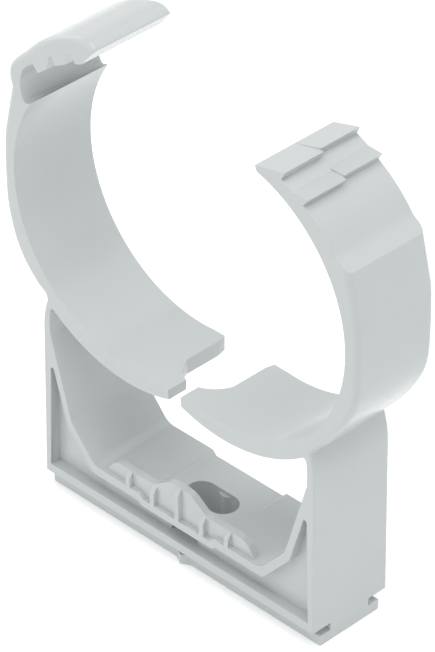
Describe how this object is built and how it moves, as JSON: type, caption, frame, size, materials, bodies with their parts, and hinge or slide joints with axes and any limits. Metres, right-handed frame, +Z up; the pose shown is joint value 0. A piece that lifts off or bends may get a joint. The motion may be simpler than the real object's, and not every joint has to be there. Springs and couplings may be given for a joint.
{
  "type": "pipe clip",
  "caption": "One-piece plastic clip on a rail foot, with two open spring arms that close round a pipe, where a notched hook catches a ratchet.",
  "frame": {"origin": "middle of the foot's underside, under the screw slot", "axes": "+Z up from the rail into the clip, +Y along the pipe from the front face with the grip rib to the back, +X from the hook side to the ratchet side"},
  "size_m": [0.0918, 0.02, 0.1077],
  "materials": {
    "clip_plastic": "light grey moulded polypropylene with a fine matt skin"
  },
  "bodies": {
    "root": {"pipe_clip": "clip_plastic"}
  },
  "joints": []
}
